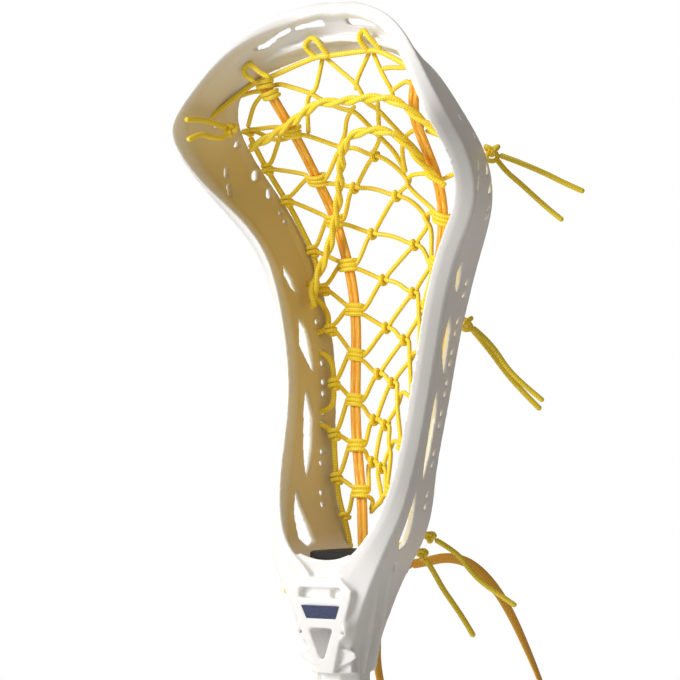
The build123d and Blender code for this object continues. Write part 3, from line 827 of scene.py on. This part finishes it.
@dataclass
class FreeEnds:
    """Knots outside the head and the string ends that leave them."""

    knot_flat: float = 0.85        # a cord leaves its knot at this share of the knot's radius
    knot_cord: float = 2.6         # mm, yellow cord drawn tight in a knot
    knot_lace: float = 2.9         # mm, lace rolled up in a knot
    knot_size: float = 2.7         # the knot's curve reaches 3, so its bows stand out a little
    knot_depth: float = 1.5        # height of the curve's waves, before they are scaled
    knot_spin: float = 0.7         # radians for each unit of the name's letters, so knots differ
    knot_points: int = 32
    right_lace_turn: Sequence[float] = (-20.0, 70.0)   # degrees at the knot and at the tip
    left_lace_turn: Sequence[float] = (10.0, 60.0)
    lace_facing: Sequence[float] = (0.5, -0.86, 0.0)
    knots: dict = field(default_factory=lambda: {
        "upper_right_knot": ((75.5, 31.5, 284.5), 5.6),
        "middle_right_knot": ((43.5, 60.8, 191.5), 4.8),
        "lower_right_knot": ((27.5, 47.5, 72.5), 3.7),
        "bottom_right_knot": ((23.2, 46.0, 63.0), 3.7),
        "upper_left_knot": ((-65.5, -13.0, 299.0), 4.4),
        "lower_left_knot": ((-24.5, 46.5, 66.0), 3.2),
        "right_lace_knot": ((12.0, 46.5, 56.0), 4.4),
        "left_lace_knot": ((-9.0, 46.5, 55.0), 4.4),
    })
    tails: dict = field(default_factory=lambda: {
        "upper_right_tail_long": ("upper_right_knot", [
            (87.0, 33.0, 280.5), (98.0, 35.0, 276.0), (107.0, 39.5, 271.5), (115.5, 44.0, 266.5),
            (123.5, 48.5, 262.6)]),
        "upper_right_tail_short": ("upper_right_knot", [
            (82.5, 33.5, 274.5), (90.0, 36.0, 268.0), (97.5, 39.0, 260.5), (105.5, 43.0, 252.5),
            (112.0, 45.5, 247.0)]),
        "middle_right_tail_outer": ("middle_right_knot", [
            (52.0, 62.5, 185.0), (60.0, 64.0, 176.5), (66.0, 67.0, 166.0), (74.5, 71.5, 156.5),
            (83.0, 77.5, 148.0)]),
        "middle_right_tail_inner": ("middle_right_knot", [
            (46.5, 68.5, 184.0), (53.5, 72.0, 174.5), (60.5, 75.5, 163.5), (69.0, 80.5, 152.5),
            (77.0, 85.5, 143.0)]),
        "lower_right_tail": ("lower_right_knot", [
            (34.5, 51.5, 68.0), (42.5, 55.5, 61.5), (46.5, 58.0, 54.5), (52.5, 61.0, 47.5),
            (61.0, 65.0, 41.0), (69.5, 70.5, 34.0)]),
        "bottom_right_tail": ("bottom_right_knot", [
            (27.5, 50.5, 54.0), (31.5, 54.0, 44.0), (37.5, 57.0, 34.5), (42.5, 61.0, 25.0),
            (47.0, 63.0, 16.5)]),
        "upper_left_tail_front": ("upper_left_knot", [
            (-67.5, -22.0, 301.0), (-70.0, -30.0, 303.0), (-72.0, -37.5, 303.5),
            (-73.8, -46.0, 303.0)]),
        "upper_left_tail_back": ("upper_left_knot", [
            (-66.5, -19.0, 293.5), (-69.0, -27.5, 294.0), (-71.5, -35.5, 296.0),
            (-74.2, -43.4, 291.8)]),
        "lower_left_tail": ("lower_left_knot", [
            (-31.0, 42.0, 60.5), (-38.5, 35.5, 56.0), (-45.0, 28.5, 51.5), (-48.5, 22.5, 45.0),
            (-50.0, 19.0, 40.5)]),
        "right_lace_tail": ("right_lace_knot", [
            (20.0, 56.0, 58.0), (29.0, 63.0, 60.5), (38.5, 68.5, 58.5), (47.0, 73.0, 51.5),
            (54.5, 78.0, 40.5), (61.0, 81.5, 27.5), (67.0, 84.0, 13.5), (72.5, 87.0, -1.0),
            (77.0, 90.0, -15.0)]),
        "left_lace_tail": ("left_lace_knot", [
            (-8.0, 50.0, 44.0), (-7.5, 50.0, 30.0), (-6.5, 47.0, 16.0), (-4.5, 43.5, 2.0),
            (-1.0, 42.5, -12.0), (3.5, 45.0, -33.0)]),
    })

    def knot(self, name: str) -> bpy.types.Object:
        """Ties one ball knot: a cord that runs three times through its own loop.

        Args:
            name: CAD node of the knot.

        Returns:
            The knot's piece.
        """
        place, radius = self.knots[name]
        lace = "lace" in name
        thick = self.knot_lace if lace else self.knot_cord
        section = Section(thick, thick, sides=14, step=0.4)
        scale = (radius - section.width / 2) / self.knot_size
        spin = self.knot_spin * sum(ord(c) for c in name)
        route = []
        for i in range(self.knot_points + 1):
            t = math.tau * i / self.knot_points
            x = math.sin(t) + 2 * math.sin(2 * t)
            y = math.cos(t) - 2 * math.cos(2 * t)
            z = -math.sin(3 * t) * self.knot_depth
            route.append(at(place[0] + scale * (x * math.cos(spin) - z * math.sin(spin)),
                            place[1] + scale * (x * math.sin(spin) + z * math.cos(spin)),
                            place[2] + scale * y))
        finish = FINISH.lace if lace else FINISH.yellow
        tied = cord_mesh(f"{name}_tied", read_lines([route]), section, finish)
        return finish_piece(tied, "orange_lace" if lace else "yellow_cord", name)

    def tail(self, name: str) -> None:
        """Args:
            name: CAD node of the free end.
        """
        knot, route = self.tails[name]
        centre, radius = at(*self.knots[knot][0]), self.knots[knot][1]
        points = [at(*p) for p in route]
        start = centre + (points[0] - centre).normalized() * (radius * self.knot_flat * MM)
        line = read_lines([[start] + points])[0]
        lace = "lace" in name
        if lace:
            turn = self.right_lace_turn if name.startswith("right") else self.left_lace_turn
            piece = cord_mesh(f"{name}_end", [line], FLAT_LACE, FINISH.lace,
                              Vector(self.lace_facing), turn)
        else:
            piece = cord_mesh(f"{name}_end", [line], CORD, FINISH.yellow)
        finish_piece(piece, "orange_lace" if lace else "yellow_cord", name)

    def build(self) -> None:
        """Makes every knot, then every free end."""
        tied = {name: self.knot(name) for name in self.knots}
        for name, (knot, _) in self.tails.items():
            self.tail(name)


# ------------------------------------------------------------------ head

@dataclass
class Head:
    """The moulded head with its ball stop, badge and screw."""

    voxel: float = 0.8             # mm, grid on which the moulded edges are rounded
    rounds: int = 6                # smoothing passes
    weld: float = 0.01             # mm, corners of the CAD mesh this close are one
    faces: int = 150000            # triangles kept
    pad_taper: float = 0.35        # the pad is narrower by this share at its back
    pad_edge: float = 1.6          # mm, its softened edges
    warm_foot: float = 62.0        # mm, height where the painted warm shade on the inner wall starts
    warm_foot_fade: float = 12.0   # mm over which it comes in
    warm_top: float = 345.0        # mm, height where it ends
    warm_top_fade: float = 60.0    # mm over which it goes out
    warm_rim_fade: float = 9.0     # mm behind the rim's edge over which it comes in
    thick_from: float = 120.0      # mm, height below which the painted warm shade is weaker, as the wall is thicker
    thick_fade: float = 80.0
    thick_share: float = 0.75      # share of the painted warm shade that is left there

    def shell(self) -> bpy.types.Object:
        """Rounds the moulded edges of the head as a mould leaves them.

        Returns:
            The rounded copy of the CAD head.
        """
        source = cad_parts["head_frame"]
        made = bpy.data.objects.new("head_moulding", source.data.copy())
        bpy.context.scene.collection.objects.link(made)
        bpy.ops.object.select_all(action="DESELECT")
        made.select_set(True)
        bpy.context.view_layer.objects.active = made
        bpy.ops.object.mode_set(mode="EDIT")
        bpy.ops.mesh.select_all(action="SELECT")
        bpy.ops.mesh.remove_doubles(threshold=self.weld * MM)
        bpy.ops.object.mode_set(mode="OBJECT")
        remesh = made.modifiers.new("grid", "REMESH")
        remesh.mode = "VOXEL"
        remesh.voxel_size = self.voxel * MM
        bpy.ops.object.modifier_apply(modifier="grid")
        smooth = made.modifiers.new("round", "SMOOTH")
        smooth.factor = 0.5
        smooth.iterations = self.rounds
        bpy.ops.object.modifier_apply(modifier="round")
        thin = made.modifiers.new("thin", "DECIMATE")
        thin.ratio = min(1.0, self.faces / (2 * len(made.data.polygons)))
        bpy.ops.object.modifier_apply(modifier="thin")
        bpy.ops.object.shade_smooth()
        return made

    def mark_inner_wall(self, made: bpy.types.Object) -> None:
        """Marks the inner faces of the side walls for the painted warm shade, which stands for light
        through the nylon and off the yellow strings.

        Args:
            made: The rounded head, which gets the attribute "painted_warm_shade_mask".
        """
        layer = made.data.attributes.new("painted_warm_shade_mask", "FLOAT", "POINT")
        for vertex in made.data.vertices:
            x, y = vertex.co.x / MM, vertex.co.y / MM
            height = (vertex.co.z - COLLAR) / MM
            # Painted warm shade mask: strongest on faces that look into the head, fading behind the
            # rim, near the collar and towards the top.
            inward = -vertex.normal.x * math.copysign(1, x) + 0.6 * max(0.0, -vertex.normal.y)
            painted_warm_shade_share = clamped(inward * 1.6)
            painted_warm_shade_share *= clamped((y - between(RIM_ROW, height)[0]) / self.warm_rim_fade)
            painted_warm_shade_share *= clamped((height - self.warm_foot) / self.warm_foot_fade)
            painted_warm_shade_share *= clamped((self.warm_top - height) / self.warm_top_fade)
            thin = clamped((height - self.thick_from) / self.thick_fade)
            painted_warm_shade_share *= self.thick_share + (1 - self.thick_share) * thin
            layer.data[vertex.index].value = painted_warm_shade_share

    def build(self) -> None:
        """Makes the moulding and dresses the CAD pieces that belong to it."""
        made = self.shell()
        self.mark_inner_wall(made)
        FINISH.nylon.put_on(made)
        finish_piece(made, "head_nylon", "head_frame")
        for node, finish in (("throat_badge", FINISH.foil), ("head_screw", FINISH.steel)):
            finish.put_on(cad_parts[node])
        self.pad()

    def pad(self) -> None:
        """Cuts the foam ball stop: a rounded wedge with a softened upper edge."""
        low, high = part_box("ball_stop")
        bpy.ops.mesh.primitive_circle_add(vertices=72, radius=1.0, fill_type="NGON",
                                          location=(0, 0, 0))
        made = bpy.context.object
        made.name = "foam_ball_stop"
        for vertex in made.data.vertices:
            x, y = vertex.co.x, vertex.co.y
            back = (math.copysign(abs(y) ** 0.5, y) + 1) / 2
            half = high.x * (1 - self.pad_taper * back)
            vertex.co = (math.copysign(abs(x) ** 0.5, x) * half,
                         low.y + (high.y - low.y) * back, low.z)
        bpy.ops.object.mode_set(mode="EDIT")
        bpy.ops.mesh.select_all(action="SELECT")
        bpy.ops.mesh.extrude_region_move(TRANSFORM_OT_translate={"value": (0, 0, high.z - low.z)})
        bpy.ops.mesh.select_all(action="SELECT")
        bpy.ops.mesh.normals_make_consistent(inside=False)
        bpy.ops.object.mode_set(mode="OBJECT")
        edge = made.modifiers.new("soft_edge", "BEVEL")
        edge.width = self.pad_edge * MM
        edge.segments = 4
        bpy.ops.object.modifier_apply(modifier="soft_edge")
        bpy.ops.object.shade_smooth_by_angle(angle=math.radians(50))
        FINISH.foam.put_on(made)
        finish_piece(made, "foam", "ball_stop")


# ------------------------------------------------------------------ pocket

@dataclass
class Pocket:
    """Knotted mesh between the sidewall strings, wrapped round the two running rails."""

    wrap_heights: Sequence[float] = (299, 273, 250, 224.5, 199, 173.5, 148, 122.5, 97)
    side_heights: Sequence[float] = (299.6, 278.4, 260.5, 232.2, 210.5, 187.7, 157.1, 128.9, 104.3, 82)
    left_knots: Route = ((-16.3, 289), (-19.6, 267.4), (-15, 241.8), (-9.9, 215.8), (-7.2, 188.8),
                         (-10.2, 162.9), (-9.7, 137.1), (-8, 113.6))
    middle_knots: Route = ((1.8, 284.3), (5.8, 262.5), (11.4, 235.3), (9.5, 208.4), (4.9, 182),
                           (-0.5, 157.9), (-2.2, 134.3), (-1.9, 110.4))
    right_tops: Route = ((17.3, 273.7), (21.7, 253.5), (21.5, 226.8), (14.6, 204.4), (10.5, 175.3),
                         (5.1, 154), (3.1, 126), (3.6, 101.5))
    right_ends: Route = ((14.5, 266.7), (23, 244.6), (21.4, 221.2), (13.4, 191), (8.8, 167.4),
                         (4.2, 140.6), (2.8, 118.2), (3.6, 95.4))
    wide_wrap: float = 6.0                         # half width of a wrap round a running rail
    narrow_wrap: float = 5.2                       # the same below the wide rows
    wide_rows: int = 5
    wrap_depth: float = 3.6                        # half depth of a wrap
    wrap_pitch: float = 5.0                        # leaves room for the other strand's turn
    hitch_radius: float = 2.5
    hitch_pitch: float = 2.8
    wall_hitch_radius: float = 2.8                 # round a sidewall string
    wall_hitch_pitch: float = 2.6
    wall_hitch_shift: float = 1.4                  # rising strands hitch this far above a knot
    hitch_points: int = 7                          # control points in one turn of a hitch
    rail_reach: float = 8.0                        # a rail's direction is taken this far each way
    strand_gap: float = 1.5                        # where two strands lie side by side
    knot_lift: float = 0.4                         # strands at a knot, in front of the pocket
    knot_reach: float = 2.5                        # from a knot's middle to where its strand bends
    sag_lift: float = 0.2                          # strands between knots
    top_lift: float = 0.6                          # strands above the first wraps
    top_wraps: Sequence[float] = (318.5, 324.5)    # heights of the wraps at the left rail's top
    top_wrap_half: float = 4.9
    top_reach: float = 6.0

    def rail_point(self, side: int, height: float) -> Vector:
        """Middle of a running rail at a height; side is -1 on the left and 1 on the right."""
        x = between(RAIL_CORD, height)[0]
        return on_pocket(side * x, height, RAIL_LIFT)

    def rail_along(self, side: int, height: float, reach: float) -> Vector:
        """Direction of a running rail, from its points at reach below and above a height."""
        return self.rail_point(side, height + reach) - self.rail_point(side, height - reach)

    def side_point(self, side: int, row: int) -> Vector:
        """Knot of the mesh on a sidewall string.

        Args:
            side: -1 on the left and 1 on the right.
            row: Which knot, from the top.

        Returns:
            The knot's middle in metres.
        """
        height = self.side_heights[row]
        x, y = between(SIDE_ROW, height)
        return at(side * (x - 0.8), y - 1.0, height)

    def wrap(self, side: int, row: int, turns: Sequence[float]) -> Line:
        """Turns of a strand round a running rail.

        Args:
            side: -1 on the left rail and 1 on the right.
            row: Which wrap, from the top.
            turns: First and last turn; a whole number is at the rail's left side.

        Returns:
            Control points from the left end of the wrap to its right end.
        """
        height = self.wrap_heights[row]
        centre = self.rail_point(side, height)
        along = self.rail_along(side, height, self.rail_reach)
        wide = self.wide_wrap if row < self.wide_rows else self.narrow_wrap
        return coil(centre, along, Vector((-1, 0, 0)), (wide, self.wrap_depth), turns,
                    -self.wrap_pitch)

    def hitch(self, place: Vector, along: Vector) -> Line:
        """One and a half turns of a strand round the strand that it crosses."""
        return coil(place, along, Vector((0, 0, -1)), (self.hitch_radius, self.hitch_radius),
                    (0.0, 1.5), self.hitch_pitch, self.hitch_points)

    def wall_hitch(self, row: int, shift: float) -> Line:
        """Turn of a strand round the left sidewall string.

        Args:
            row: Which knot, from the top.
            shift: How far up the string from the knot's middle, in millimetres.

        Returns:
            Control points that end on the pocket's side of the string.
        """
        centre = self.side_point(-1, row) + Vector((0, 0, shift * MM))
        size = (self.wall_hitch_radius, self.wall_hitch_radius)
        return coil(centre, Vector((0, 0, 1)), Vector((1, 0, 0)), size, (-1.2, 0.0),
                    self.wall_hitch_pitch, self.hitch_points)

    def falling(self, row: int) -> Line:
        """Strand that starts high on the left sidewall and falls to the right.

        Args:
            row: Which strand, from the top.

        Returns:
            Its control points from left to right.
        """
        route = self.wall_hitch(row, -self.wall_hitch_shift) + self.wrap(-1, row, (0.0, 1.5))
        if row < len(self.left_knots):
            x, h = self.left_knots[row]
            x2, h2 = self.middle_knots[row]
            route += [on_pocket(x - self.knot_reach, h + 1.0, self.knot_lift),
                      on_pocket(x + self.knot_reach, h, self.knot_lift),
                      on_pocket((x + x2) / 2, (h + h2) / 2 + 2.2, self.sag_lift),
                      on_pocket(x2 - self.knot_reach, h2 + 0.8, self.knot_lift),
                      on_pocket(x2 + self.knot_reach + 0.5, h2, self.knot_lift)]
            x3, h3 = self.right_tops[row]
            x4, h4 = self.right_ends[row]
            route += [on_pocket((x2 + x3) / 2 + 0.8, (h2 + h3) / 2 + 2.0, self.sag_lift),
                      on_pocket(x3 - self.strand_gap, h3, 0.5),
                      on_pocket(x3, (h3 + h4) / 2, 1.8),
                      on_pocket(x4 + self.strand_gap, h4, 0.5)]
            if row + 2 < len(self.wrap_heights):
                route += self.wrap(1, row + 2, (0.0, 1.5))
                route.append(self.side_point(1, row + 3))
            else:
                route.append(on_pocket(between(RAIL_CORD, 80)[0] - 3, 82))
        else:
            route += [on_pocket(-4.5, 91.5), on_pocket(-6.5, 86.5)]
        return route

    def rising(self, row: int) -> Line:
        """Strand that starts low on the left sidewall and rises to the right.

        Args:
            row: Which strand, from the top.

        Returns:
            Its control points from left to right.
        """
        route = []
        if row < len(self.wrap_heights):
            route += self.wall_hitch(row + 1, self.wall_hitch_shift)
            route += self.wrap(-1, row, (0.0, 0.5))
        else:
            route += [on_pocket(-6.5, 95 - row), on_pocket(-1.0, 81.5 + row),
                      on_pocket(1.0, 84 + row)]
        if 0 <= row - 1 < len(self.left_knots):
            x, h = self.left_knots[row - 1]
            route += self.hitch(on_pocket(x, h, self.knot_lift), Vector((1, 0, -0.15)))
        if 0 <= row - 2 < len(self.middle_knots):
            x, h = self.middle_knots[row - 2]
            route += self.hitch(on_pocket(x, h, self.knot_lift), Vector((1, 0, -0.1)))
        if 0 <= row - 3 < len(self.right_tops):
            x3, h3 = self.right_tops[row - 3]
            x4, h4 = self.right_ends[row - 3]
            route += [on_pocket(x4 - self.strand_gap, h4, 0.5),
                      on_pocket(x3, (h3 + h4) / 2, -1.0),
                      on_pocket(x3 + self.strand_gap, h3, 0.5)]
            route += self.wrap(1, row - 2, (0.0, 0.5))
            route.append(self.side_point(1, row - 2))
        return route

    def top_strands(self) -> list[Line]:
        """Strands between the first row of wraps, the shooting strings and the top string.

        Returns:
            Control points of each strand.
        """
        routes = [
            [(-33, 297.2), (-29, 305), (-26, 314), (-22.4, 318.6), (-18.5, 320), (-16, 330),
             (-15.2, 339.5)],
            [(-48, 322.5), (-43.3, 324.8), (-33, 321.8), (-22.4, 318.6), (-18.5, 316),
             (-14.3, 313.5), (-4, 309), (2.8, 308.5), (8.8, 298), (13, 292), (17, 285),
             (17.3, 275)],
            [(-16.3, 290), (-9, 297), (-7.4, 300), (-2, 306.5), (4, 311)],
            [(1.8, 285.5), (9, 291), (12.5, 296), (14.5, 301), (18, 308), (19, 313)],
            [(-13.5, 338), (-4, 331), (7.2, 323), (10, 318), (11, 312.5), (18, 308.5), (21.2, 303.3),
             (24.5, 297), (27, 293), (31, 287), (34, 279)],
            [(14.5, 340), (11, 331), (7.6, 323.5), (6.8, 319)],
            [(16.5, 340), (22, 331), (27, 323), (29.9, 318), (29, 312)],
            [(29.9, 318), (35, 321), (40.7, 323.5), (44, 320)],
            [(23.5, 330.2), (29, 331), (36, 330.2), (44, 331), (51, 332)],
            [(-68.8, 317), (-60, 319.6), (-53.7, 320.7), (-48, 320)],
            [(-52, 319), (-57.5, 315), (-62, 308), (-66.5, 301)],
            [(-66.5, 300.5), (-61, 297.5), (-55.5, 293.8), (-46, 295), (-42, 298)],
            [(53, 325), (57.5, 315), (62, 306), (66, 300)],
            [(66, 299.5), (58, 295), (50, 293), (42, 297)],
            [(42, 299), (33, 297), (26, 293), (20, 285), (17.5, 275)],
        ]
        lines = [[on_pocket(x, h, self.top_lift) for x, h in route] for route in routes]
        for height in self.top_wraps:
            centre = self.rail_point(-1, height)
            along = self.rail_along(-1, height, self.top_reach)
            lines.append(coil(centre, along, Vector((-1, 0, 0)),
                              (self.top_wrap_half, self.wrap_depth), (-0.2, 1.7), -2.7))
        return lines

    def build(self) -> None:
        """Makes the mesh in two pieces."""
        falling = [self.falling(row) for row in range(len(self.wrap_heights))]
        rising = [self.rising(row) for row in range(len(self.wrap_heights) + 2)]
        falling_piece = cord_mesh("mesh_falling_strands", read_lines(falling), CROSS_LACE,
                                  FINISH.fine_yellow)
        finish_piece(falling_piece, "yellow_cord", "pocket_net")
        rising_piece = cord_mesh("mesh_rising_strands", read_lines(rising + self.top_strands()),
                                 CROSS_LACE, FINISH.fine_yellow)
        finish_piece(rising_piece, "yellow_cord")


@dataclass
class RunningRails:
    """Two orange rails, each of two lace strands that lie side by side."""

    spacing: float = 1.5           # mm from the rail's middle to each strand

    def build(self) -> None:
        """Makes the left and the right rail."""
        for side, word in ((-1, "left"), (1, "right")):
            route = [on_pocket(side * x, h, RAIL_LIFT) for x, h in RAIL_CORD]
            middle = read_lines([route])[0]
            strands = []
            for hand in (-1, 1):
                strands.append([p + Vector((hand * self.spacing * MM, 0, 0)) for p in middle])
            piece = cord_mesh(f"{word}_rail_strands", strands, RAIL_STRAND, FINISH.rail,
                              Vector((0, -1, 0)))
            finish_piece(piece, "orange_lace", f"{word}_running_rail")


@dataclass
class Strings:
    """Sidewall, top and bottom strings and the two shooting strings."""

    lie_heights: Sequence[float] = (68, 78, 92, 104, 117, 129, 146, 157, 169, 191, 198, 222, 232, 244,
                                    256, 266, 276, 286, 296)
    outside_runs: Route = ((134.7, 141.3), (175.3, 185.7), (206.7, 213.3))   # left string only
    at_hole: Sequence[float] = (3.0, -3.5)         # out of the string's line and back, inside
    past_wall: Sequence[float] = (9.4, -5.0)       # the same on the wall's outer side
    pair_spread: float = 1.3       # from a shooting string's middle to each of its cords
    pair_pitch: float = 27.0       # length of one twist
    top: Route = ((-77, -18, 305), (-66, -13, 314), (-55.5, -5, 325), (-47, -4, 327), (-17, -3, 338),
                  (-8, -3, 338.3), (17, -3, 340.3), (24, -3, 340), (36, -4, 334.5), (52, -7, 326),
                  (65, -13, 315), (76, -19, 304))
    loops: Sequence[Route] = (
        ((-49, -14, 325), (-53.5, -15, 327.5), (-55, -17, 331), (-51.8, -15, 335.5),
         (-45.5, -17, 331), (-42.5, -15, 328.5), (-39, -14, 327)),
        ((-15.5, -3, 337.5), (-20, -4, 340.5), (-21.5, -7, 345), (-17.1, -4, 349.5),
         (-11.5, -7, 344.5), (-9, -5, 340.5), (-7, -3, 337.5)),
        ((17.5, -3, 340), (14.5, -6, 344), (13.5, -7, 348), (15.5, -4, 352), (19.5, -7, 347.5),
         (23, -5, 343.5), (25.5, -3, 340)),
    )
    bottom: Route = ((-17.5, 50.5, 70), (-8, 51.5, 66), (6, 51, 66.5), (17.5, 50.5, 70))
    upper_shooter: Route = ((-65, 289), (-51, 295), (-40, 299.5), (-25.5, 305.5), (-12, 312.5),
                            (0, 312), (15, 313.5), (30, 314), (41, 310.5), (48, 303), (57, 295.5),
                            (65, 289))
    u_shooter: Route = ((-41, 200), (-43.5, 210.5), (-36, 233), (-24, 260.5), (-16, 277),
                        (-7.5, 288.5), (0.5, 294.5), (9, 296.5), (21.5, 297), (29.5, 294.5),
                        (34.5, 288), (37, 281), (40.5, 273), (47, 266.5))

    def sidewall(self, side: int) -> Line:
        """Route of a sidewall string, which dips out through the wall's paired holes.

        Args:
            side: -1 on the left and 1 on the right.

        Returns:
            Its control points in rising order.
        """
        places = [(h, 0.0, 0.0) for h in self.lie_heights]
        if side < 0:
            for low, high in self.outside_runs:
                places += [(low - 1.0, *self.at_hole), (low, *self.past_wall),
                           (high, *self.past_wall), (high + 1.0, *self.at_hole)]
        route = []
        for height, out, back in sorted(places):
            x, y = between(SIDE_ROW, height)
            route.append(at(side * (x + out), y + back, height))
        return route

    def build(self) -> None:
        """Makes the held strings."""
        for side, word in ((-1, "left"), (1, "right")):
            piece = cord_mesh(f"{word}_sidewall_lacing", read_lines([self.sidewall(side)]), CORD,
                              FINISH.yellow)
            finish_piece(piece, "yellow_cord", f"{word}_sidewall_string")
        for name, routes in (("top", (self.top, *self.loops)), ("bottom", (self.bottom,))):
            lines = read_lines([[at(*p) for p in route] for route in routes])
            piece = cord_mesh(f"{name}_lacing", lines, CORD, FINISH.yellow)
            finish_piece(piece, "yellow_cord", f"{name}_string")
        for name, route in (("upper", self.upper_shooter), ("u", self.u_shooter)):
            middle = [on_pocket(x, h, SHOOTER_LIFT) for x, h in route]
            pair = twisted_pair(middle, self.pair_spread, self.pair_pitch)
            piece = cord_mesh(f"{name}_shooting_pair", pair, SHOOTER_YARN, FINISH.yellow)
            finish_piece(piece, "yellow_cord", f"{name}_shooting_string")


@dataclass
class Handle:
    """Painted tube and rubber cap."""

    def build(self) -> None:
        """Dresses the CAD tube and cap."""
        FINISH.paint.put_on(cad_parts["handle"])
        FINISH.rubber.put_on(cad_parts["end_cap"])


def main() -> None:
    """Builds the stick from its camera to its handle."""
    logging.basicConfig(level=logging.INFO, format="%(message)s")
    for part in (Studio(), FreeEnds(), Head(), Pocket(), RunningRails(), Strings(), Handle()):
        part.build()
        log.info("%s done", type(part).__name__)


if __name__ == "__main__":
    main()
